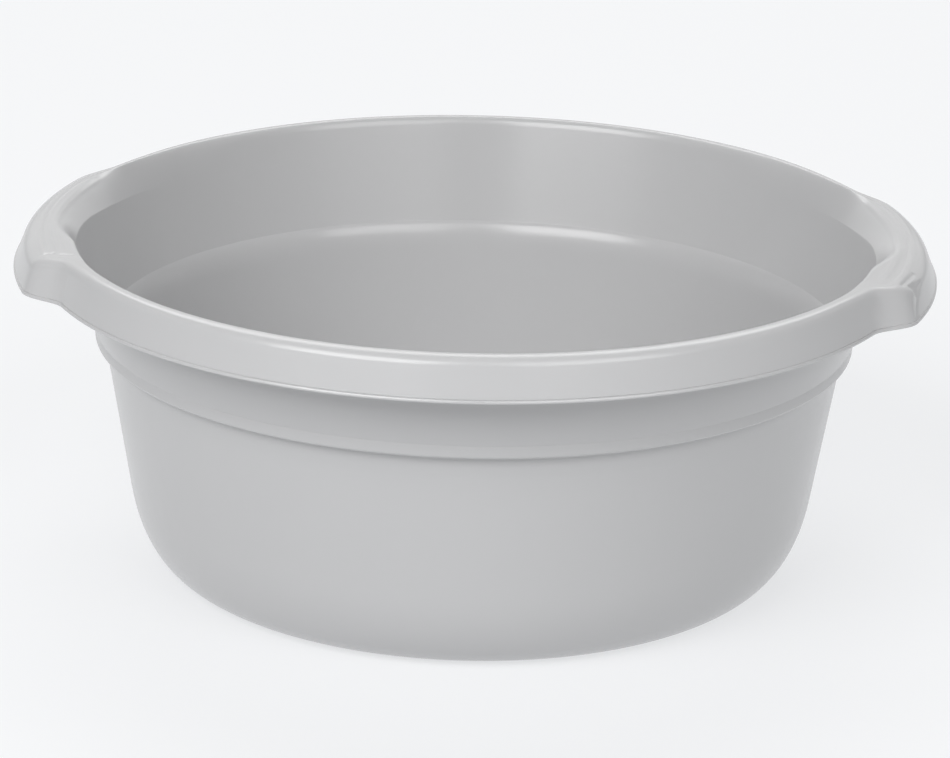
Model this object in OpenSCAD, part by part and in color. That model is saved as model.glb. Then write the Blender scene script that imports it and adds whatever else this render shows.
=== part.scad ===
// Round washing up bowl with two handle wings, a stacking step in the wall and a hollow rim.
// The real bowl is one moulding. Its regions are kept apart here and meet face to face.
// The origin is at the middle of the foot ring, on the surface the bowl stands on.
// The handle wings lie along X.

/* [Bowl] */
// Height from the foot ring to the crest of the rim
bowl_h = 143.8; // [125:0.1:170]
// Diameter of the circle along the crest of the rim
crest_d = 341; // [320:0.5:380]
// Diameter of the flat that the bowl stands on, to the foot of the rounding
base_d = 240.4; // [200:0.4:250]
// Thickness of the wall
wall_t = 2.4; // [1.6:0.1:3.2]

/* [Base] */
// Thickness of the bottom inside the foot ring
panel_t = 2.4; // [1.6:0.1:4]
// Gap between the bottom and the surface the bowl stands on
foot_rise = 1.2; // [0.4:0.1:2]
// Width of the foot ring
foot_w = 8; // [4:0.5:14]
// Edge break of the foot ring
foot_break = 0.4; // [0.2:0.1:0.4]
// Width of the rounding between base and wall
curve_w = 23.8; // [18:0.2:28]
// Height of the rounding between base and wall
curve_h = 48.2; // [36:0.2:56]

/* [Stacking step] */
// Height of the outside corner of the step
step_h = 96.3; // [84:0.1:106]
// Width of the outside ledge
ledge_w = 3.8; // [2:0.1:5]
// Height over which the ledge rounds upright
ledge_rise = 2; // [1:0.1:3]
// Height of the upright band above the ledge
band_h = 4; // [2:0.1:7]
// Height of the inside crease above the outside corner
crease_rise = 2.9; // [1.5:0.1:4]
// Slope of the inside shoulder at the crease, from level
crease_slope = 45; // [30:1:55]
// Height over which the inside shoulder runs out into the lower wall
shoulder_fall = 11; // [8:0.5:16]
// Draft of the wall above the step
upper_draft = 17.9; // [15:0.1:22]

/* [Rim] */
// Width of the flat land along the crest
land_w = 0.8; // [0.4:0.1:1.6]
// Width of the rounding inside the crest
round_w = 3.8; // [3:0.1:6]
// Height of the rounding inside the crest
round_h = 9; // [6:0.5:12]
// Radius of the outside shoulder of the rim
shoulder_r = 5; // [4:0.1:6.5]
// Flare of the rim apron from upright
flare = 19; // [10:0.5:24]
// Height of the apron from the crest to the groove above the lip
apron_h = 15.1; // [12:0.1:20]
// Thickness of the rim, the deck and the apron
rim_t = 2.2; // [1.6:0.1:2.8]
// Height of the beaded lip
lip_h = 1.6; // [1.2:0.1:2.4]
// Width of the beaded lip
lip_w = 2.7; // [2.4:0.1:3.4]
// How far the bead stands out of the apron
bead_out = 0.6; // [0.2:0.1:0.9]
// Depth of the groove between apron and lip
groove = 0.3; // [0.1:0.05:0.4]

/* [Handle wings] */
// How far the wings stand out of the rim
wing_out = 10.3; // [6:0.1:14]
// Fall of the deck from the crest to its outer edge
deck_fall = 1.9; // [0.5:0.1:3]
// Half angle of the full width of the deck
wing_a = 18.5; // [14:0.5:20]
// Half angle where the cove at the deck ends
deck_end_a = 24.2; // [23:0.1:26]
// Half angle where the lip starts to curve in
lip_corner_a = 19.5; // [18:0.1:21]
// Half angle where the lip is back on the rim
lip_end_a = 26.6; // [25:0.1:29]
// Half angle where the last of the cove fades out
fade_a = 34; // [31:0.5:38]
// Share of the cove that fades out slowly
fade_share = 0.22; // [0.05:0.01:0.35]
// Half angle of the grip ridges
ridge_a = 17; // [10:0.5:17.5]
// Width of a grip ridge
ridge_w = 2; // [1:0.1:2.5]
// Height of a grip ridge above the deck
ridge_h = 0.3; // [0.2:0.05:0.5]
// Width of the sloping side of a grip ridge
ridge_side = 0.5; // [0.2:0.05:0.5]
// Distance from the crest land to the inner ridge
ridge_in = 1.8; // [0.5:0.1:2.5]
// Distance from the outer ridge to the shoulder of the wing
ridge_out = 0.4; // [0:0.1:1]

/* [Hidden] */
$fn = 180;
shell_grey = [0.77, 0.77, 0.78];
deck_grey = [0.82, 0.82, 0.83];
lip_grey = [0.74, 0.74, 0.75];

// Base: the floor and the flat it stands on
base_r = base_d / 2;
foot_in_r = base_r - foot_w;
floor_z = foot_rise + panel_t;

// Rim: the land runs from land_in_r to land_out_r at the top
land_in_r = crest_d / 2 - land_w / 2;
land_out_r = crest_d / 2 + land_w / 2;
groove_z = bowl_h - apron_h;

// Upper wall: a straight cone that touches the rounding inside the crest.
// inward is the direction square to its inside face.
inward = [-cos(upper_draft), sin(upper_draft)];
touch_l = norm([round_w * inward[0], round_h * inward[1]]);
touch = [land_in_r + round_w * round_w * inward[0] / touch_l,
  bowl_h - round_h + round_h * round_h * inward[1] / touch_l];
touch_a = atan2((touch[1] - bowl_h + round_h) / round_h, (touch[0] - land_in_r) / round_w);
function upper_in(z) = touch[0] + (z - touch[1]) * tan(upper_draft);
function upper_out(z) = upper_in(z) + wall_t / cos(upper_draft);

// Step: the upright band ends where the cone above it starts
band_z = step_h + ledge_rise + band_h;
band_r = upper_out(band_z);
step_r = band_r - ledge_w;
crease_z = step_h + crease_rise;
crease = [upper_in(crease_z), crease_z];

// Lower wall: a straight cone from the step's corner that touches the rounding of the base
corner = [(step_r - base_r) / curve_w, (step_h - curve_h) / curve_h];
foot_a = acos(1 / norm(corner)) - atan2(corner[1], corner[0]);
lower_top = [step_r, step_h];
lower_foot = [base_r + curve_w * cos(foot_a), curve_h - curve_h * sin(foot_a)];
lower_slope = (lower_top[0] - lower_foot[0]) / (lower_top[1] - lower_foot[1]);
lower_draft = atan(lower_slope);
lower_out_dir = [cos(lower_draft), -sin(lower_draft)];
function lower_out(z) = lower_top[0] + (z - lower_top[1]) * lower_slope;
function lower_in(z) = lower_out(z) - wall_t / cos(lower_draft);

// Inside shoulder: a curve from the crease, sloping at crease_slope, into the lower wall
run_out_z = crease_z - shoulder_fall;
run_out = [lower_in(run_out_z), run_out_z];
bend_drop = (crease[0] - lower_in(crease_z)) / (1 / tan(crease_slope) - lower_slope);
bend = [crease[0] - bend_drop / tan(crease_slope), crease_z - bend_drop];
function along(a, b, c, s) = (1 - s) * (1 - s) * a + 2 * s * (1 - s) * b + s * s * c;

// Rounding of the base, from the lower wall (turn = foot_a) down to the flat (turn = 90)
function base_out(turn) = [base_r + curve_w * cos(turn), curve_h - curve_h * sin(turn)];
function base_dir(turn) = [curve_h * cos(turn), -curve_w * sin(turn)] /
  norm([curve_h * cos(turn), curve_w * sin(turn)]);
function base_thick(turn) = wall_t + (floor_z - wall_t) * (turn - foot_a) / (90 - foot_a);
function base_in(turn) = base_out(turn) - base_thick(turn) * base_dir(turn);

// Outside section of the rim, with the skin behind it. The shoulder starts on the land.
shoulder_c = [land_out_r, bowl_h - shoulder_r];
function arc_at(turn, r) = shoulder_c + r * [cos(turn), sin(turn)];
function flare_at(z, r) = arc_at(flare, r)[0] + (arc_at(flare, r)[1] - z) * tan(flare);
arc_n = 5;
arc_turns = [for (i = [0 : arc_n]) 90 - (90 - flare) * i / arc_n];
apron_r = flare_at(groove_z, shoulder_r);
skin_r = flare_at(groove_z, shoulder_r - rim_t);
rim_out = concat([for (t = arc_turns) arc_at(t, shoulder_r)],
  [[flare_at(groove_z + groove, shoulder_r), groove_z + groove], [apron_r - groove, groove_z]]);
rim_in = concat([[skin_r, groove_z], [flare_at(groove_z + groove, shoulder_r - rim_t), groove_z + groove]],
  [for (i = [arc_n : -1 : 0]) arc_at(arc_turns[i], shoulder_r - rim_t)]);
lip_r = apron_r + bead_out;
// The bead is rounded out from lip_start to lip_full, as shares of its height
lip_start = 0.2;
lip_full = 0.5;
lip_section = [[lip_r - lip_w, groove_z], [apron_r - groove, groove_z],
  [lip_r - groove, groove_z - lip_h * lip_start], [lip_r, groove_z - lip_h * lip_full],
  [lip_r - groove, groove_z - lip_h], [lip_r - lip_w, groove_z - lip_h]];

// Wings: how much of wing_out each angle gets, at the deck and at the lip
function fall(s) = s <= 0 ? 1 : s >= 1 ? 0 : (1 + cos(180 * s)) / 2;
function deck_part(a) = (1 - fade_share) * fall((abs(a) - wing_a) / (deck_end_a - wing_a))
  + fade_share * fall((abs(a) - wing_a) / (fade_a - wing_a));
function lip_part(a) = fall((abs(a) - lip_corner_a) / (lip_end_a - lip_corner_a));
half_n = 5;
cove_n = 9;
fade_n = 3;
half_turns = concat([for (i = [1 : half_n]) wing_a * i / half_n],
  [for (i = [1 : cove_n]) wing_a + (lip_end_a - wing_a) * i / cove_n],
  [for (i = [1 : fade_n]) lip_end_a + (fade_a - lip_end_a) * i / fade_n]);
last = len(half_turns) - 1;
stations = concat([for (i = [last : -1 : 0]) -half_turns[i]], [0], half_turns);

// A section point carried out with the wing. low is 0 at the deck and 1 at the lip.
function low(z) = min(1, max(0, (bowl_h - z) / apron_h));
function carried(p, a) = let (
    part = deck_part(a) * (1 - low(p[1])) + lip_part(a) * low(p[1]),
    sink = p[1] > groove_z ? deck_fall * deck_part(a) * (p[1] - groove_z) / apron_h : 0)
  [p[0] + wing_out * part, p[1] - sink];
function placed(p, a) = [p[0] * cos(a), p[0] * sin(a), p[1]];
// The least width of the deck's section outside the land, where the wing has faded out
deck_least = 0.01;
function deck_section(a) = let (
    edge = carried([land_out_r, bowl_h], a) + [deck_least, 0],
    skin = carried([land_out_r, bowl_h - rim_t], a) + [deck_least, 0])
  [[land_in_r, bowl_h], [land_out_r, bowl_h], edge, skin,
    [land_out_r, bowl_h - rim_t], [land_in_r, bowl_h - rim_t]];

// A closed skin through one section at each station
module loft(sections) {
  m = len(sections[0]);
  k = len(sections);
  points = [for (s = [0 : k - 1]) for (p = sections[s]) placed(p, stations[s])];
  sides = [for (s = [0 : k - 2]) for (i = [0 : m - 1]) let (j = (i + 1) % m)
    for (f = [[s * m + i, s * m + j, s * m + m + j], [s * m + i, s * m + m + j, s * m + m + i]]) f];
  first_end = [for (i = [m - 1 : -1 : 0]) i];
  last_end = [for (i = [0 : m - 1]) (k - 1) * m + i];
  polyhedron(points, concat(sides, [first_end, last_end]));
}

// A section swept round the axis between the wings, on the -Y side
module front_sweep(section) {
  rotate([0, 0, -180 + fade_a])
    rotate_extrude(angle = 180 - 2 * fade_a)
      polygon(section);
}

// A low ridge on the deck that starts at a distance from the land
module grip_ridge(start) {
  r0 = land_out_r + start;
  r1 = r0 + ridge_w;
  drop = deck_fall / wing_out;
  z0 = bowl_h - (r0 - land_out_r) * drop;
  z1 = bowl_h - (r1 - land_out_r) * drop;
  rotate([0, 0, -ridge_a])
    rotate_extrude(angle = 2 * ridge_a)
      polygon([[r0, z0], [r1, z1], [r1 - ridge_side, z1 + ridge_h], [r0 + ridge_side, z0 + ridge_h]]);
}

// Base
module base_panel() {
  color(shell_grey)
    translate([0, 0, foot_rise])
      cylinder(h = panel_t, r = foot_in_r);
}

module foot_ring() {
  color(shell_grey)
    rotate_extrude()
      polygon([[foot_in_r, foot_break], [foot_in_r + foot_break, 0], [base_r, 0],
        [base_r, floor_z], [foot_in_r, floor_z]]);
}

module base_curve() {
  steps = 14;
  turns = [for (i = [0 : steps]) 90 - (90 - foot_a) * i / steps];
  color(shell_grey)
    rotate_extrude()
      polygon(concat([for (t = turns) base_out(t)], [for (i = [steps : -1 : 0]) base_in(turns[i])]));
}

// Wall
module lower_wall() {
  color(shell_grey)
    rotate_extrude()
      polygon([base_out(foot_a), run_out + wall_t * lower_out_dir, run_out, base_in(foot_a)]);
}

module step_shoulder() {
  steps = 6;
  ledge = [for (i = [0 : steps]) [step_r + ledge_w * sin(90 * i / steps),
    step_h + ledge_rise * (1 - cos(90 * i / steps))]];
  inside = [for (i = [0 : steps]) along(crease, bend, run_out, i / steps)];
  color(shell_grey)
    rotate_extrude()
      polygon(concat([run_out + wall_t * lower_out_dir], ledge, [[band_r, band_z]],
        [[band_r, band_z] + wall_t * inward], inside));
}

module upper_wall() {
  color(shell_grey)
    rotate_extrude()
      polygon([[band_r, band_z], touch - wall_t * inward, touch, [band_r, band_z] + wall_t * inward]);
}

// Rim
module rim_crest() {
  steps = 6;
  crown = [for (i = [0 : steps]) let (t = touch_a + (90 - touch_a) * i / steps)
    [land_in_r + round_w * cos(t), bowl_h - round_h + round_h * sin(t)]];
  color(shell_grey)
    rotate_extrude()
      polygon(concat([touch - wall_t * inward], crown, [[land_in_r, bowl_h - rim_t]]));
}

module front_skirt() {
  color(shell_grey)
    front_sweep(concat([[land_in_r, bowl_h]], rim_out, rim_in, [[land_in_r, bowl_h - rim_t]]));
}

module back_skirt() {
  rotate([0, 0, 180])
    front_skirt();
}

module front_lip() {
  color(lip_grey)
    front_sweep(lip_section);
}

module back_lip() {
  rotate([0, 0, 180])
    front_lip();
}

// Handle wings
module right_deck() {
  color(deck_grey)
    loft([for (a = stations) deck_section(a)]);
}

module right_apron() {
  color(shell_grey)
    loft([for (a = stations) [for (p = concat(rim_out, rim_in)) carried(p, a)]]);
}

module right_lip() {
  color(lip_grey)
    loft([for (a = stations) [for (p = lip_section) carried(p, a)]]);
}

module right_inner_ridge() {
  color(deck_grey)
    grip_ridge(ridge_in);
}

module right_outer_ridge() {
  color(deck_grey)
    grip_ridge(wing_out - ridge_w - ridge_out);
}

module left_deck() {
  mirror([1, 0, 0])
    right_deck();
}

module left_apron() {
  mirror([1, 0, 0])
    right_apron();
}

module left_lip() {
  mirror([1, 0, 0])
    right_lip();
}

module left_inner_ridge() {
  mirror([1, 0, 0])
    right_inner_ridge();
}

module left_outer_ridge() {
  mirror([1, 0, 0])
    right_outer_ridge();
}

base_panel();
foot_ring();
base_curve();
lower_wall();
step_shoulder();
upper_wall();
rim_crest();
front_skirt();
back_skirt();
front_lip();
back_lip();
right_deck();
right_apron();
right_lip();
right_inner_ridge();
right_outer_ridge();
left_deck();
left_apron();
left_lip();
left_inner_ridge();
left_outer_ridge();
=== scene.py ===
import math

import bmesh
import bpy
import numpy as np
from mathutils import Matrix, Vector


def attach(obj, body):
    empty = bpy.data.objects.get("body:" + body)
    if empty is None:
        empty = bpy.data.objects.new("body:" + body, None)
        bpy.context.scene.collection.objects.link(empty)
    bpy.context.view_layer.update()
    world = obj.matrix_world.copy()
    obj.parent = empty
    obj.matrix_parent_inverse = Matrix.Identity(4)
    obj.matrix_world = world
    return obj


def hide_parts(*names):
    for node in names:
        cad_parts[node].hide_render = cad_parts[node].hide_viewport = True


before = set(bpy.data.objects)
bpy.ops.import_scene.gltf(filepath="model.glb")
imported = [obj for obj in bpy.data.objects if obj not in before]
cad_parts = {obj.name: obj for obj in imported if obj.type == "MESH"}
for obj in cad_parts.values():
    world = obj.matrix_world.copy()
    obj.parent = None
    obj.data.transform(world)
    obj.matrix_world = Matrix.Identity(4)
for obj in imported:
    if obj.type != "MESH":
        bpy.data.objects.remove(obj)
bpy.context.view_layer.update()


# Floor of the bowl and its foot ring: the bottom of the moulding. The inside floor is flat and a
# little scoured. Underneath, a low ring carries the bowl, the panel inside it stands clear, and the
# pip where the plastic was injected is left in the middle.
PER_METRE = 1000  # outlines are in mm and meshes in metres
MERGE_DISTANCE = 1e-7
SHARP_A = 38
BASE_R = 120.2
FOOT_W = 8.0
FOOT_RISE = 1.2
FOOT_TAPER = 1.2
FOOT_ROUND = 0.8
FLOOR_Z = 3.6
# Radius, height over the panel's underside and rounding of the pip's corners
PIP = ((0.0, 0.2, 0), (3.4, 0.2, 0), (3.1, -0.35, 0.15), (1.6, -0.45, 0.2), (1.3, -0.8, 0.15),
       (0.0, -0.85, 0))


def eased(corners, steps=5):
    """An outline of (r, z, radius) corners with each corner rounded to its radius."""
    out = []
    n = len(corners)
    for i, (r, z, ease) in enumerate(corners):
        here = np.array([r, z], float)
        if not ease:
            out.append(tuple(here))
            continue
        before = np.array(corners[i - 1][:2], float) - here
        after = np.array(corners[(i + 1) % n][:2], float) - here
        before /= np.linalg.norm(before)
        after /= np.linalg.norm(after)
        half = math.acos(max(-1.0, min(1.0, float(before @ after)))) / 2
        reach = ease / math.tan(half)
        middle = here + (before + after) / np.linalg.norm(before + after) * (ease / math.sin(half))
        start, end = here + before * reach - middle, here + after * reach - middle
        a0 = math.atan2(start[1], start[0])
        turn = (math.atan2(end[1], end[0]) - a0 + math.pi) % (2 * math.pi) - math.pi
        for k in range(steps + 1):
            a = a0 + turn * k / steps
            out.append((middle[0] + ease * math.cos(a), middle[1] + ease * math.sin(a)))
    return out


def moulded(name, sections, turns, material, *nodes):
    """A closed skin through one (r, z) outline in mm at each turn in degrees, round the bowl's axis."""
    whole = math.isclose(turns[-1] - turns[0], 360)
    if whole:
        sections, turns = sections[:-1], turns[:-1]
    rows = np.array(sections, float) / PER_METRE
    n, m = rows.shape[:2]
    a = np.radians(turns)[:, None]
    points = np.stack([rows[..., 0] * np.cos(a), rows[..., 0] * np.sin(a), rows[..., 1]], -1)
    bm = bmesh.new()
    verts = [bm.verts.new(p) for p in points.reshape(-1, 3)]
    for i in range(n if whole else n - 1):
        k = (i + 1) % n
        for j in range(m):
            q = (j + 1) % m
            bm.faces.new((verts[i * m + j], verts[k * m + j], verts[k * m + q], verts[i * m + q]))
    if not whole:
        bm.faces.new([verts[j] for j in range(m)])
        bm.faces.new([verts[(n - 1) * m + j] for j in range(m - 1, -1, -1)])
    bmesh.ops.remove_doubles(bm, verts=bm.verts, dist=MERGE_DISTANCE)
    bmesh.ops.recalc_face_normals(bm, faces=bm.faces)
    mesh = bpy.data.meshes.new(name)
    bm.to_mesh(mesh)
    bm.free()
    mesh.shade_smooth()
    mesh.set_sharp_from_angle(angle=math.radians(SHARP_A))
    piece = bpy.data.objects.new(name, mesh)
    bpy.context.collection.objects.link(piece)
    mesh.materials.append(material)
    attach(piece, "root")
    if nodes:
        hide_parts(*nodes)
    return piece


def turned(name, outline, material, *nodes, steps=360):
    """A ring or disc with the same outline all the way round."""
    turns = [360 * i / steps for i in range(steps + 1)]
    return moulded(name, [outline] * (steps + 1), turns, material, *nodes)


def feed(tree, node, inputs):
    """Joins each named input of a shader node to a socket, or sets it to a plain value."""
    for key, value in inputs.items():
        if isinstance(value, bpy.types.NodeSocket):
            tree.links.new(value, node.inputs[key])
        else:
            node.inputs[key].default_value = value
    return node


def node_of(tree, kind, inputs=None, **settings):
    """Adds a shader node with these settings and inputs."""
    made = tree.nodes.new(kind)
    for key, value in settings.items():
        setattr(made, key, value)
    return feed(tree, made, inputs or {})


def math_of(tree, operation, first, second):
    """The result of a math node on two sockets, or on a socket and a number."""
    return node_of(tree, "ShaderNodeMath", {0: first, 1: second}, operation=operation).outputs[0]


def group_of(name, inputs, outputs):
    """A node group with named float inputs at their start values and named outputs, and its input sockets."""
    group = bpy.data.node_groups.new(name, "ShaderNodeTree")
    for label, start in inputs:
        socket = group.interface.new_socket(label, in_out="INPUT", socket_type="NodeSocketFloat")
        socket.default_value = start
    for label in outputs:
        group.interface.new_socket(label, in_out="OUTPUT", socket_type="NodeSocketFloat")
    return group, group.nodes.new("NodeGroupInput").outputs


SPECK_CELLS = 0.9  # only cells with a colour above this have a speck
FLOW_ROUND, FLOW_UP = 2.5, 6.0


def moulded_skin_group():
    """The skin of moulded plastic: slow tone drift, flow marks round the axis, fine grain, specks."""
    group, given = group_of("moulded_skin", (("Grain Size", 1200.0), ("Flow", 0.5), ("Seed", 0.0)),
                            ("Drift", "Grain", "Specks", "Flow Marks"))
    place = node_of(group, "ShaderNodeTexCoord").outputs["Object"]
    shift = node_of(group, "ShaderNodeVectorMath", {0: place, 1: given["Seed"]}, operation="ADD").outputs[0]
    drift = node_of(group, "ShaderNodeTexNoise", {"Vector": shift, "Scale": 9.0, "Detail": 3.0})
    grain = node_of(group, "ShaderNodeTexNoise", {
        "Vector": shift, "Scale": given["Grain Size"], "Detail": 2.0})
    # Specks are the middles of a few of the cells
    cells = node_of(group, "ShaderNodeTexVoronoi", {"Vector": shift, "Scale": 55.0})
    dots = node_of(group, "ShaderNodeMapRange",
                   {"Value": cells.outputs["Distance"], "From Min": 0.035, "From Max": 0.012})
    rare = math_of(group, "GREATER_THAN", cells.outputs["Color"], SPECK_CELLS)
    # Flow marks are long and faint: noise in height and in turn round the axis
    part = node_of(group, "ShaderNodeSeparateXYZ", {0: place})
    turn = math_of(group, "ARCTAN2", part.outputs["Y"], part.outputs["X"])
    joined = node_of(group, "ShaderNodeCombineXYZ", {
        "X": math_of(group, "MULTIPLY", turn, FLOW_ROUND),
        "Y": math_of(group, "MULTIPLY", part.outputs["Z"], FLOW_UP),
        "Z": given["Seed"]})
    flow = node_of(group, "ShaderNodeTexNoise", {"Vector": joined.outputs[0], "Scale": 2.2, "Detail": 4.0})
    node_of(group, "NodeGroupOutput", {
        "Drift": drift.outputs["Fac"],
        "Grain": grain.outputs["Fac"],
        "Specks": math_of(group, "MULTIPLY", dots.outputs[0], rare),
        "Flow Marks": math_of(group, "MULTIPLY", flow.outputs["Fac"], given["Flow"])})
    return group


def scuff_group():
    """Hair scratches that a sponge and crockery leave, in two crossing directions."""
    group, given = group_of("sponge_scuffs", (("Density", 0.5),), ("Scuffs",))
    place = node_of(group, "ShaderNodeTexCoord").outputs["Object"]
    lines = []
    for turn in (0.35, 1.9):
        laid = node_of(group, "ShaderNodeMapping",
                       {"Vector": place, "Rotation": (0.2, 0.15, turn), "Scale": (70.0, 1500.0, 300.0)})
        hair = node_of(group, "ShaderNodeTexNoise", {"Vector": laid.outputs[0], "Scale": 1.0, "Detail": 1.0})
        lines.append(node_of(group, "ShaderNodeMapRange",
                             {"Value": hair.outputs["Fac"], "From Min": 0.70, "From Max": 0.80}).outputs[0])
    crossed = math_of(group, "MAXIMUM", *lines)
    node_of(group, "NodeGroupOutput", {"Scuffs": math_of(group, "MULTIPLY", crossed, given["Density"])})
    return group


skin_group = moulded_skin_group()
scuffs_group = scuff_group()
SPECK_SHARE = 0.35
SCRATCH_ROUGHNESS = 0.03
GRAIN_STRENGTH = 8


def tinted(tone, red, green, blue):
    """A colour from a grey tone and a share for each channel."""
    return (tone * red, tone * green, tone * blue, 1)


def grey_plastic(name, tone, roughness, grain=0.012, scuffs=0.4, seed=0.0):
    """Semi-gloss moulded plastic in a neutral grey."""
    material = bpy.data.materials.new(name)
    material.use_nodes = True
    tree = material.node_tree
    skin = node_of(tree, "ShaderNodeGroup", node_tree=skin_group)
    skin.inputs["Seed"].default_value = seed
    scuff = node_of(tree, "ShaderNodeGroup", node_tree=scuffs_group)
    scuff.inputs["Density"].default_value = scuffs
    # Colour: between two near greys, a little lighter in the flow marks and darker in the specks
    drifted = node_of(tree, "ShaderNodeMix", {
        "Factor": skin.outputs["Drift"],
        "A": tinted(tone, 0.985, 0.985, 1.0),
        "B": tinted(tone, 1.012, 1.012, 1.022)}, data_type="RGBA")
    marked = node_of(tree, "ShaderNodeMix", {
        "Factor": skin.outputs["Flow Marks"],
        "A": drifted.outputs["Result"],
        "B": tinted(tone, 1.03, 1.03, 1.035)}, data_type="RGBA")
    speckled = node_of(tree, "ShaderNodeMix", {
        "Factor": math_of(tree, "MULTIPLY", skin.outputs["Specks"], SPECK_SHARE),
        "A": marked.outputs["Result"],
        "B": tinted(tone, 0.72, 0.71, 0.7)}, data_type="RGBA")
    # Roughness: it drifts too, and each scratch adds to it
    drifting = node_of(tree, "ShaderNodeMapRange", {
        "Value": skin.outputs["Drift"], "To Min": roughness - 0.025, "To Max": roughness + 0.035})
    scratched = math_of(tree, "MULTIPLY", scuff.outputs["Scuffs"], SCRATCH_ROUGHNESS)
    # Relief: the fine grain, on top of a slow waviness
    fine = node_of(tree, "ShaderNodeBump", {
        "Height": skin.outputs["Grain"], "Strength": grain * GRAIN_STRENGTH, "Distance": 0.00003})
    wave = node_of(tree, "ShaderNodeBump", {
        "Height": skin.outputs["Drift"], "Normal": fine.outputs[0], "Strength": 0.2, "Distance": 0.0004})
    feed(tree, tree.nodes["Principled BSDF"], {
        "Base Color": speckled.outputs["Result"],
        "Roughness": math_of(tree, "ADD", drifting.outputs[0], scratched),
        "Normal": wave.outputs[0],
        "IOR": 1.49})
    return material


floor_plastic = grey_plastic("scoured_grey_plastic", 0.45, 0.34, grain=0.02, scuffs=0.9, seed=3.0)
foot_in_r = BASE_R - FOOT_W
turned("floor_disc", eased([(0.0, FLOOR_Z, 0), (0.0, FOOT_RISE, 0), (foot_in_r, FOOT_RISE, 0),
                            (foot_in_r, FLOOR_Z, 0)]), floor_plastic, "base_panel")
turned("foot_ring_rail", eased([(foot_in_r, FLOOR_Z, 0), (foot_in_r, FOOT_RISE, 0),
                                (foot_in_r + FOOT_TAPER, 0.0, FOOT_ROUND), (BASE_R, 0.0, 0),
                                (BASE_R, FLOOR_Z, 0)]), floor_plastic, "foot_ring")
turned("gate_pip", eased([(r, FOOT_RISE + rise, ease) for r, rise, ease in PIP]), floor_plastic, steps=48)


# Lower wall: a plain cone with a large rounding into the floor, one even wall of plastic. The mould
# is polished here, so it carries soft reflections.
WALL = 2.4
CURVE_W = 23.8
CURVE_H = 48.2
CURVE_STEPS = 40
STEP_R = 153.35
STEP_Z = 96.3
CREASE_Z = STEP_Z + 2.9
RUN_OUT_Z = CREASE_Z - 11.0  # where the cone's inside starts to swing out to the step
CONE_POINTS = 7

wall_plastic = grey_plastic("polished_grey_plastic", 0.45, 0.22)


def rounding(turn):
    """A point of the outside of the base rounding and its outward direction; 90 is the flat."""
    c, s = math.cos(math.radians(turn)), math.sin(math.radians(turn))
    out = np.array([BASE_R + CURVE_W * c, CURVE_H - CURVE_H * s])
    way = np.array([CURVE_H * c, -CURVE_W * s])
    return out, way / np.linalg.norm(way)


# The cone's outside is the line from the step that just touches the elliptic rounding. The turn where
# it meets it is found with the ellipse scaled to a unit circle.
step_scaled = np.array([(STEP_R - BASE_R) / CURVE_W, (STEP_Z - CURVE_H) / CURVE_H])
MEET = math.degrees(math.acos(1 / np.linalg.norm(step_scaled)) - math.atan2(step_scaled[1], step_scaled[0]))
meet_point = rounding(MEET)[0]
LEAN = (STEP_R - meet_point[0]) / (STEP_Z - meet_point[1])
lean_way = np.array([1.0, -LEAN]) / math.hypot(1, LEAN)


def lower_in(z):
    """Radius of the lower cone's inside at a height."""
    return STEP_R + (z - STEP_Z) * LEAN - WALL * math.hypot(1, LEAN)


def straight(start, end, points):
    """Evenly spaced points from start to end."""
    start, end = np.array(start, float), np.array(end, float)
    return [tuple(start + (end - start) * s) for s in np.linspace(0, 1, points)]


def bent(start, corner, end, points):
    """Points of a quadratic curve from start to end that leaves and arrives along the corner's sides."""
    return [tuple((1 - s) ** 2 * start + 2 * s * (1 - s) * corner + s * s * end)
            for s in np.linspace(0, 1, points)]


outside, inside = [], []
for i in range(CURVE_STEPS + 1):
    turn = 90 - (90 - MEET) * i / CURVE_STEPS
    out, way = rounding(turn)
    thick = WALL + (FLOOR_Z - WALL) * (turn - MEET) / (90 - MEET)
    outside.append(tuple(out))
    inside.append(tuple(out - thick * way))
turned("base_rounding", outside + inside[::-1], wall_plastic, "base_curve")

cone_in = np.array([lower_in(RUN_OUT_Z), RUN_OUT_Z])
cone_out = cone_in + WALL * lean_way
turned("lower_cone", straight(outside[-1], cone_out, CONE_POINTS)
       + straight(cone_in, inside[-1], CONE_POINTS), wall_plastic, "lower_wall")


# Stacking step: bowls nest on this ledge. Outside it is a ledge under an upright band, and inside
# it is a sharp crease above a rounded shoulder. It is part of the wall.
LEDGE_W = 3.8
LEDGE_RISE = 2.0
LEDGE_POINTS = 16
LEDGE_ROUND = 0.35
BAND_Z = STEP_Z + 6.0
BAND_EDGE = 1.5
UPPER_DRAFT = math.radians(17.9)
CREASE_EDGE = 1.2
CREASE_ROUND = 0.5
SHOULDER_POINTS = 25
CREST_IN = 170.1
CREST_Z = 143.8
ROUND_W = 3.8
ROUND_H = 9.0

# The upper wall's inside touches the elliptic rounding of the crest at this point
up_way = np.array([-math.cos(UPPER_DRAFT), math.sin(UPPER_DRAFT)])
hold = math.hypot(ROUND_W * up_way[0], ROUND_H * up_way[1])
touch = np.array([CREST_IN + ROUND_W ** 2 * up_way[0] / hold,
                  CREST_Z - ROUND_H + ROUND_H ** 2 * up_way[1] / hold])


def upper_in(z):
    """Radius of the upper cone's inside at a height."""
    return touch[0] + (z - touch[1]) * math.tan(UPPER_DRAFT)


BAND_R = upper_in(BAND_Z) + WALL / math.cos(UPPER_DRAFT)
band_out = np.array([BAND_R, BAND_Z])
band_in = band_out + WALL * up_way
ledge = []
for turn in np.linspace(0, 90, LEDGE_POINTS):
    sine, cosine = math.sin(math.radians(turn)), math.cos(math.radians(turn))
    ledge.append((BAND_R - LEDGE_W + LEDGE_W * sine, STEP_Z + LEDGE_RISE * (1 - cosine)))

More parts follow.
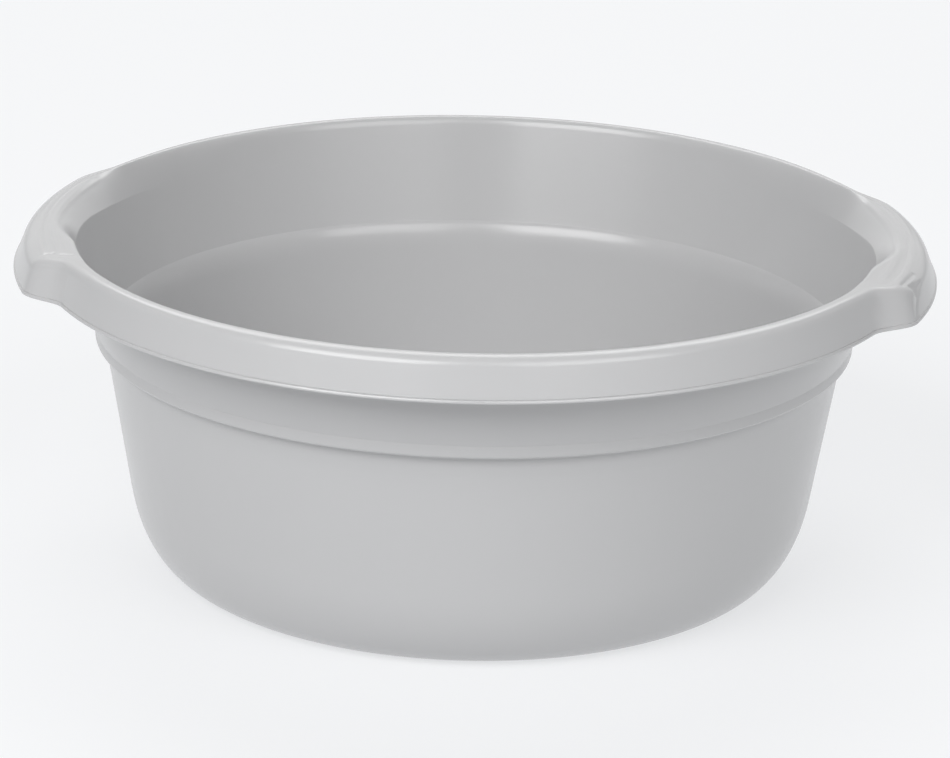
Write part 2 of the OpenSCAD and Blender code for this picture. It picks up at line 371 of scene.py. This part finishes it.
# From the crease the shoulder runs down and in at 45 degrees and bends into the lower cone
crease = np.array([upper_in(CREASE_Z), CREASE_Z])
drop = (crease[0] - lower_in(CREASE_Z)) / (1 - LEAN)
shoulder = bent(crease, np.array([crease[0] - drop, CREASE_Z - drop]), cone_in, SHOULDER_POINTS)

# The roundings of the ledge's corner and the crease take the place of the first points after them
turned("stacking_step", eased(
    [(*cone_out, 0), (BAND_R - LEDGE_W, STEP_Z, LEDGE_ROUND)] + [(*p, 0) for p in ledge[2:]]
    + [(BAND_R, BAND_Z - BAND_EDGE, 0), (*band_out, 0), (*band_in, 0),
       (upper_in(CREASE_Z + CREASE_EDGE), CREASE_Z + CREASE_EDGE, 0), (*crease, CREASE_ROUND)]
    + [(*p, 0) for p in shoulder[3:]]), wall_plastic, "step_shoulder")


# Upper wall: the wider cone above the step, up to where it starts to round over into the rim. It
# has the same polish as the lower wall.
UPPER_TOP_Z = 130.5
UPPER_POINTS = 6
cone_top_in = np.array([upper_in(UPPER_TOP_Z), UPPER_TOP_Z])
cone_top_out = cone_top_in - WALL * up_way
turned("upper_cone", straight(band_out, cone_top_out, UPPER_POINTS)
       + straight(cone_top_in, band_in, UPPER_POINTS), wall_plastic, "upper_wall")


# Rim: the wall rolls over the crest into an outer apron, open underneath, so the rim is stiff and
# light. It runs between the handle wings at the front and the back, and its back part also carries
# the end of the slope that the wings have inside. Angles are from the middle of a wing, in degrees.
CREST_OUT = 170.9
SHOULDER_R = 5.0
FLARE = 19.0
APRON_H = 15.1
APRON_LEAD = 12.0
APRON_POINTS = 9
APRON_IN_POINTS = 7
BEND_STEPS = 24
BEND_IN_POINTS = 22
RIM_T = 2.2
RIM_SECTIONS = 150
GROOVE_Z = CREST_Z - APRON_H
GROOVE_EDGE = 0.3
GROOVE_POINTS = ((0.03, 0.1), (0.14, 0.0))  # how far in and how far up
FADE_A = 34.0
FADE_REST = 1.5
FADE_SHARE = 0.22
WING_A = 18.5
WING_OUT = 10.3
WING_ROUND = 4.5
DECK_END_A = 24.2
DECK_FALL = 1.9
DECK_STEPS = 24
LIP_CORNER_A = 19.5
LIP_END_A = 26.6

rim_plastic = grey_plastic("rim_grey_plastic", 0.45, 0.22)


def easing(s):
    """1 up to s = 0, falling smoothly to 0 at s = 1."""
    return 1.0 if s <= 0 else 0.0 if s >= 1 else (1 + math.cos(math.pi * s)) / 2


def deck_part(a):
    """How far the top of the rim is swung out into the wing at angle a."""
    a = abs(a)
    return ((1 - FADE_SHARE) * easing((a - WING_A) / (DECK_END_A - WING_A))
            + FADE_SHARE * easing((a - WING_A) / (FADE_A - FADE_REST - WING_A)))


def lip_part(a):
    """How far the lower edge is swung out at angle a."""
    return easing((abs(a) - LIP_CORNER_A) / (LIP_END_A - LIP_CORNER_A))


def carried(r, z, a):
    """A point of the rim's outside carried out and down with the wing at angle a."""
    low = min(1.0, max(0.0, (CREST_Z - z) / APRON_H))
    out = deck_part(a) * (1 - low) + lip_part(a) * low
    sink = DECK_FALL * deck_part(a) * max(0.0, z - GROOVE_Z) / APRON_H
    return r + WING_OUT * out, z - sink


def arc(turn, radius):
    """A point round the middle of the rim's outer rounding; 90 is straight above it."""
    return (CREST_OUT + radius * math.cos(math.radians(turn)),
            CREST_Z - SHOULDER_R + radius * math.sin(math.radians(turn)))


def flare_r(z, radius):
    """Radius at a height of the flared line that leaves that rounding."""
    r0, z0 = arc(FLARE, radius)
    return r0 + (z0 - z) * math.tan(math.radians(FLARE))


def apron_outside(a):
    """The outside of the rim from its top to the groove; it is rounder on the wings."""
    ease = SHOULDER_R + WING_ROUND * deck_part(a)
    corner = flare_r(CREST_Z, SHOULDER_R)
    low = (flare_r(GROOVE_Z + GROOVE_EDGE, SHOULDER_R), GROOVE_Z + GROOVE_EDGE)
    bend = eased([(corner - APRON_LEAD, CREST_Z, 0), (corner, CREST_Z, ease), (*low, 0)], BEND_STEPS)[1:-1]
    groove = [(flare_r(GROOVE_Z, SHOULDER_R) - inward, GROOVE_Z + up) for inward, up in GROOVE_POINTS]
    return bend + straight(bend[-1], low, APRON_POINTS)[1:] + groove


apron_in = [(flare_r(z, SHOULDER_R - RIM_T), z)
            for z in np.linspace(GROOVE_Z, arc(FLARE, SHOULDER_R - RIM_T)[1], APRON_IN_POINTS)]
apron_in += [arc(turn, SHOULDER_R - RIM_T) for turn in np.linspace(90, FLARE, BEND_IN_POINTS)[-2::-1]]

# The inside of the plain rim: rows up the wall, closer rows up to the touching point, the crown. A
# wing's inside has as many rows of each kind, so the two can be blended row by row.
WALL_ROWS = 5
SLOPE_ROWS = 9
CROWN_ROWS = 36
SLOPE_FROM_Z = 134.0
touch_turn = math.degrees(math.atan2((touch[1] - CREST_Z + ROUND_H) / ROUND_H,
                                     (touch[0] - CREST_IN) / ROUND_W))
crown = [(CREST_IN + ROUND_W * math.cos(math.radians(turn)),
          CREST_Z - ROUND_H + ROUND_H * math.sin(math.radians(turn)))
         for turn in np.linspace(touch_turn, 90, CROWN_ROWS)]
rows_up = np.concatenate([np.linspace(UPPER_TOP_Z, SLOPE_FROM_Z, WALL_ROWS)[:-1],
                          np.linspace(SLOPE_FROM_Z, touch[1], SLOPE_ROWS)])
inner_ring = np.array([(upper_in(z), z) for z in rows_up] + crown[1:])
HIDDEN_ROWS = range(len(inner_ring) - 4, 5, -4)  # every fourth, from under the crest down to the wall

# The inside edge of the wings. Each row: angle, towards the front negative; height of the edge on the
# wall; radius where the slope above it would meet the deck; shares of the slope and of the deck that
# the rounding between them takes up
EDGE = (
    (-26, 134.0, 168.4, 0.25, 0.3),
    (-22, 133.0, 167.6, 0.22, 0.25),
    (-18, 132.5, 166.9, 0.2, 0.2),
    (-14, 133.0, 166.5, 0.24, 0.26),
    (-11, 133.4, 167.2, 0.45, 0.45),
    (-8, 134.0, 168.8, 0.7, 0.65),
    (-5, 134.8, 170.7, 0.9, 0.82),
    (-2, 135.2, 172.2, 1.0, 0.92),
    (2, 135.2, 173.2, 1.0, 0.95),
    (8, 134.4, 173.4, 1.0, 0.95),
    (12, 133.4, 173.1, 1.0, 0.9),
    (16, 132.7, 172.5, 1.0, 0.8),
    (20, 132.1, 171.8, 1.0, 0.68),
    (24, 131.8, 171.1, 1.0, 0.7),
    (28, 131.2, 169.8, 1.0, 0.9),
    (32, 130.9, 168.8, 1.0, 0.95),
    (40, 130.9, 168.5, 1.0, 0.95),
    (50, 130.9, 168.4, 1.0, 0.95),
)
EDGE_A, *EDGE_COLUMNS = zip(*EDGE)
EDGE_FAR_A, EDGE_FAR_FADE = 34.0, 16.0
EDGE_NEAR_A, EDGE_NEAR_FADE = 22.0, 8.0
MIN_DECK_RUN = 3.0
TOP_SINK = 0.03
MOST_OF_SLOPE = 0.97


def smooth_table(a, angles, values):
    """A value between table entries, eased so that the surface has no kinks along its length."""
    a = min(max(a, angles[0]), angles[-1])
    i = min(int(np.searchsorted(angles, a, side="right")) - 1, len(angles) - 2)
    tangents = np.gradient(values, angles)
    h = angles[i + 1] - angles[i]
    t = (a - angles[i]) / h
    return ((2 * t ** 3 - 3 * t ** 2 + 1) * values[i] + (t ** 3 - 2 * t ** 2 + t) * h * tangents[i]
            + (3 * t ** 2 - 2 * t ** 3) * values[i + 1] + (t ** 3 - t ** 2) * h * tangents[i + 1])


def wing_edge(a):
    """How far the inside of the rim has the wing's form at angle a; the far end fades slowly."""
    return easing((a - EDGE_FAR_A) / EDGE_FAR_FADE) if a > 0 else easing((-a - EDGE_NEAR_A) / EDGE_NEAR_FADE)


def wing_face(a, deck_edge):
    """The inside of the wing: up the wall to a faint edge, up a slope and round on to the deck."""
    foot_z, top_r, down, along = (smooth_table(a, EDGE_A, column) for column in EDGE_COLUMNS)
    fall = (CREST_Z - deck_edge[1]) / max(deck_edge[0] - CREST_OUT, MIN_DECK_RUN)
    top = np.array([top_r, CREST_Z - TOP_SINK - max(0.0, top_r - CREST_OUT) * fall])
    foot = np.array([upper_in(foot_z), foot_z])
    start = top + (foot - top) * min(MOST_OF_SLOPE, down)
    end = top + (np.array(deck_edge) - top) * along
    wall = [(upper_in(z), z) for z in np.linspace(UPPER_TOP_Z, foot_z, WALL_ROWS)[:-1]]
    return np.array(wall + straight(foot, start, SLOPE_ROWS) + bent(start, top, end, CROWN_ROWS)[1:])


# Small mould marks at the front corners of the wings. The dents and the slot are in the top, as
# chains of (angle, radius); the hollow and its tail are in the apron, as (angle, height).
LEFT_DENTS = (((-18.6, 182.5), (-18.4, 179.9), (-18.4, 176.9)), ((-19.8, 174.4), (-21.0, 170.8)))
RIGHT_SLOT = ((-18.2, 182.1), (-15.6, 182.4), (-12.9, 183.0))
RIGHT_HOLLOW = ((-17.6, 140.6), (-12.9, 138.2), (-17.2, 135.0))
RIGHT_TAIL = ((-17.2, 135.4), (-18.6, 132.4), (-19.4, 129.6))
DENT_DEPTH, SLOT_DEPTH, TAIL_DEPTH, HOLLOW_DEPTH = 0.22, 0.5, 0.3, 0.7
MARK_W = 0.9
HOLLOW_EDGE, HOLLOW_FADE = 1.2, 2.0
MARKS_FROM_A, MARKS_TO_A = -23, -10
MARKS_TOP_Z = 137
MARKS_RIGHT_R = 178
MM_PER_DEGREE = math.radians(1) * 180


def in_mm(chain):
    """A chain's points with their angles as mm round the wing."""
    return [(angle * MM_PER_DEGREE, across) for angle, across in chain]


def near_line(x, y, points):
    """Distance from (x, y) to a chain of points."""
    best = math.inf
    for (x0, y0), (x1, y1) in zip(points[:-1], points[1:]):
        t = ((x - x0) * (x1 - x0) + (y - y0) * (y1 - y0)) / ((x1 - x0) ** 2 + (y1 - y0) ** 2)
        t = min(1.0, max(0.0, t))
        best = min(best, math.hypot(x - x0 - t * (x1 - x0), y - y0 - t * (y1 - y0)))
    return best


def inside_by(x, y, corners):
    """How far (x, y) is inside a shape with clockwise corners."""
    return min(-((x1 - x0) * (y - y0) - (y1 - y0) * (x - x0)) / math.hypot(x1 - x0, y1 - y0)
               for (x0, y0), (x1, y1) in zip(corners, corners[1:] + corners[:1]))


def groove_depth(depth, gap):
    """How deep a soft groove is at a gap from its middle."""
    return depth * math.exp(-(gap / MARK_W) ** 2)


def mark_depth(side, a, r, z):
    """How deep the small mould marks are at a point of the wing, in mm."""
    if not MARKS_FROM_A <= a <= MARKS_TO_A:
        return 0.0
    x = a * MM_PER_DEGREE
    if side == "left" and z > MARKS_TOP_Z:
        return groove_depth(DENT_DEPTH, min(near_line(x, r, in_mm(chain)) for chain in LEFT_DENTS))
    if side == "right" and r > MARKS_RIGHT_R:
        slot = groove_depth(SLOT_DEPTH, near_line(x, r, in_mm(RIGHT_SLOT))) if z > MARKS_TOP_Z else 0.0
        tail = groove_depth(TAIL_DEPTH, near_line(x, z, in_mm(RIGHT_TAIL)))
        within = inside_by(x, z, in_mm(RIGHT_HOLLOW))
        return max(slot, tail, HOLLOW_DEPTH * easing((HOLLOW_EDGE - within) / HOLLOW_FADE))
    return 0.0


# Two low ridges along each grip: the radii between which one is full, and the width of its sides
RIDGES = ((173.4, 174.2, 2.0), (179.6, 180.2, 1.8))
RIDGE_H = 0.28
RIDGE_A, RIDGE_FADE = 16.5, 4.5
RELIEF_A = 26


def hump(x, low, high, side):
    """1 between low and high, falling off smoothly over side."""
    return easing((low - x) / side) * easing((x - high) / side)


def grip_ridges(a, r):
    """How high the two grip ridges stand at a point of the wing's top, in mm."""
    along = easing((abs(a) - RIDGE_A) / RIDGE_FADE)
    return RIDGE_H * deck_part(a) * along * sum(hump(r, *ridge) for ridge in RIDGES)


def rim_section(a, side=""):
    """The closed outline of the rim at angle a, and of the wing on a side near the wing's middle."""
    apron_out = apron_outside(a)
    deck_edge = carried(*apron_out[0], a)
    w = wing_edge(a)
    face = inner_ring * (1 - w) + wing_face(a, deck_edge) * w if w > 0 else inner_ring
    deck = [tuple(face[-1] + (np.array(deck_edge) - face[-1]) * k / DECK_STEPS) for k in range(1, DECK_STEPS)]
    skin = np.array([tuple(p) for p in face] + deck + [carried(r, z, a) for r, z in apron_out])
    if abs(a) < RELIEF_A:
        # Ridges stand out along the skin's normals and marks go in along them
        way = np.gradient(skin, axis=0)
        lift = np.array([grip_ridges(a, r) - mark_depth(side, a, r, z) for r, z in skin])
        lift = lift / np.hypot(way[:, 0], way[:, 1])
        skin = skin + np.stack([-way[:, 1] * lift, way[:, 0] * lift], -1)
    points = [tuple(p) for p in skin] + [carried(r, z, a) for r, z in apron_in]
    # The hidden side follows the face at one thickness, back down to the wall
    run = np.gradient(face, axis=0)
    behind = face + RIM_T * np.stack([run[:, 1], -run[:, 0]], -1) / np.hypot(run[:, 0], run[:, 1])[:, None]
    return points + [tuple(behind[k]) for k in HIDDEN_ROWS] + [tuple(cone_top_out)]


between = np.linspace(FADE_A, 180 - FADE_A, RIM_SECTIONS)
moulded("back_rim", [rim_section(min(a, 180 - a)) for a in between], list(between),
        rim_plastic, "back_skirt", "rim_crest")
moulded("front_rim", [rim_section(-FADE_A)] * len(between), list(between + 180), rim_plastic, "front_skirt")


# Handle wings: a broad level grip on each side. The rim's apron swings out round it, and a scooped
# cove at each end brings it back. Two low ridges run along the top of each grip.
wing_plastic = grey_plastic("grip_grey_plastic", 0.45, 0.22, grain=0.016)

# One section per degree, and five per degree where the coves and the marks are
COVES_FROM_A, COVES_TO_A = 10, 29
WIDE_SECTIONS = 69
COVE_SECTIONS = 96
wing_turns = np.unique(np.round(np.concatenate([
    np.linspace(-FADE_A, FADE_A, WIDE_SECTIONS), np.linspace(-COVES_TO_A, -COVES_FROM_A, COVE_SECTIONS),
    np.linspace(COVES_FROM_A, COVES_TO_A, COVE_SECTIONS)]), 4))
for side, middle, back in (("right", 0, 1), ("left", 180, -1)):
    moulded(side + "_wing", [rim_section(back * a, side) for a in wing_turns], list(wing_turns + middle),
            wing_plastic, side + "_deck", side + "_apron", side + "_inner_ridge", side + "_outer_ridge")


# Lip: a bead along the lower edge of the apron and the wings, with a fine groove above it. It
# stiffens the edge and makes it kind to the hands.
LIP_H = 1.6
LIP_W = 2.7
BEAD_OUT = 0.6
BEAD_BEVEL = 0.3
BEAD_FULL = 0.8
BEAD_TAPER = 0.1
GROOVE_IN = 0.16
apron_r = flare_r(GROOVE_Z, SHOULDER_R)
lip_r = apron_r + BEAD_OUT
lip_outline = eased([(lip_r - LIP_W, GROOVE_Z, 0), (apron_r - GROOVE_IN, GROOVE_Z, 0),
                     (apron_r + BEAD_BEVEL, GROOVE_Z - BEAD_BEVEL, 0.25), (lip_r, GROOVE_Z - BEAD_FULL, 0.3),
                     (lip_r - BEAD_TAPER, GROOVE_Z - LIP_H, 0.45), (lip_r - LIP_W, GROOVE_Z - LIP_H, 0.4)])


def lip_section(a):
    """The bead's outline at angle a."""
    return [carried(r, z, a) for r, z in lip_outline]


for name, offset, node in (("back_lip_bead", 0, "back_lip"), ("front_lip_bead", 180, "front_lip")):
    moulded(name, [lip_section(FADE_A)] * len(between), list(between + offset), rim_plastic, node)
for side, middle in (("right", 0), ("left", 180)):
    moulded(side + "_lip_bead", [lip_section(a) for a in wing_turns], list(wing_turns + middle),
            wing_plastic, side + "_lip")


# Studio: a pale, faintly glowing floor and a surround that is lighter near the horizon. Two soft boxes
# stand high to both sides behind the camera, one hangs high behind the bowl, and a lit backdrop is
# lower behind it. The camera is where the photograph was taken from.
FLOOR_HALF = 6.0
FLOOR_DROP = 0.0002
BAND_TOP, BAND_FULL = 0.34, 0.1  # heights in the surround's direction
WORLD_TOP = 0.146
WORLD_LOW = 0.378
CREST = Vector((0, 0, CREST_Z / PER_METRE))
SWING = math.radians(2.3)
# Lamps: azimuth from the camera and elevation in degrees, distance, width, height, watts
LAMPS = (
    ("soft_box_left", -33, 38, 2.5, 1.7, 1.3, 47.9),
    ("soft_box_right", 33, 38, 2.5, 1.7, 1.3, 25.3),
    ("soft_box_behind", 180, 50, 3.0, 3.0, 1.8, 52.1),
    ("backdrop_glow", 180, 19, 3.2, 5.0, 1.9, 18.9),
)
# Camera, fitted to the photograph: in metres and degrees, then in pixels
ELEVATION = math.radians(16.63)
DISTANCE = 1.66384
ROLL = math.radians(1.255)
PHOTO_W, PHOTO_H = 950, 758
FOCAL_PX = 4019.6
CREST_X, CREST_Y = 476.37, 223.17
SENSOR = 36
CLIP_END = 50


def studio_surface(name, tone, glow):
    """A matt pale surface that is lit a little by itself."""
    material = bpy.data.materials.new(name)
    material.use_nodes = True
    tree = material.node_tree
    noise = node_of(tree, "ShaderNodeTexNoise", {"Scale": 3.0})
    tint = node_of(tree, "ShaderNodeMix", {
        "Factor": noise.outputs["Fac"],
        "A": tinted(tone, 0.995, 1.0, 1.01),
        "B": tinted(tone, 1.0, 1.005, 1.015)}, data_type="RGBA")
    feed(tree, tree.nodes["Principled BSDF"], {
        "Base Color": tint.outputs["Result"],
        "Roughness": 0.9,
        "Specular IOR Level": 0.1,
        "Emission Color": (0.985, 0.995, 1.01, 1),
        "Emission Strength": glow})
    return material


def aim(thing, azimuth, elevation, distance, roll=0.0):
    """Puts a lamp or camera at a distance from the middle of the crest and turns it to face that."""
    back = Vector((math.sin(azimuth) * math.cos(elevation), -math.cos(azimuth) * math.cos(elevation),
                   math.sin(elevation)))
    bpy.context.collection.objects.link(thing)
    thing.location = CREST + back * distance
    thing.rotation_mode = "QUATERNION"
    thing.rotation_quaternion = ((-back).to_track_quat("-Z", "Y")
                                 @ Matrix.Rotation(roll, 4, "Z").to_quaternion())


bm = bmesh.new()
bmesh.ops.create_grid(bm, x_segments=4, y_segments=4, size=FLOOR_HALF)
mesh = bpy.data.meshes.new("studio_floor")
bm.to_mesh(mesh)
bm.free()
floor = bpy.data.objects.new("studio_floor", mesh)
bpy.context.collection.objects.link(floor)
floor.location = (0, 0, -FLOOR_DROP)
mesh.materials.append(studio_surface("pale_floor", 0.25, 0.642))

world = bpy.data.worlds.new("soft_surround")
world.use_nodes = True
tree = world.node_tree
way = node_of(tree, "ShaderNodeSeparateXYZ", {0: node_of(tree, "ShaderNodeTexCoord").outputs["Generated"]})
low_band = node_of(tree, "ShaderNodeMapRange", {
    "Value": way.outputs["Z"], "From Min": BAND_TOP, "From Max": BAND_FULL,
    "To Min": WORLD_TOP, "To Max": WORLD_LOW}, interpolation_type="SMOOTHSTEP")
feed(tree, tree.nodes["Background"], {"Color": (0.98, 0.99, 1.0, 1), "Strength": low_band.outputs[0]})
bpy.context.scene.world = world

for name, azimuth, elevation, distance, width, height, watts in LAMPS:
    lamp = bpy.data.lights.new(name, "AREA")
    lamp.shape = "RECTANGLE"
    lamp.size, lamp.size_y = width, height
    lamp.energy = watts
    aim(bpy.data.objects.new(name, lamp), SWING + math.radians(azimuth), math.radians(elevation), distance)

camera = bpy.data.objects.new("camera", bpy.data.cameras.new("camera"))
aim(camera, SWING, ELEVATION, DISTANCE, ROLL)
camera.data.sensor_width = SENSOR
camera.data.lens = FOCAL_PX * SENSOR / PHOTO_W
camera.data.shift_x = (PHOTO_W / 2 - CREST_X) / PHOTO_W
camera.data.shift_y = (CREST_Y - PHOTO_H / 2) / PHOTO_W
camera.data.clip_end = CLIP_END
bpy.context.scene.camera = camera
bpy.context.scene.view_settings.view_transform = "Standard"
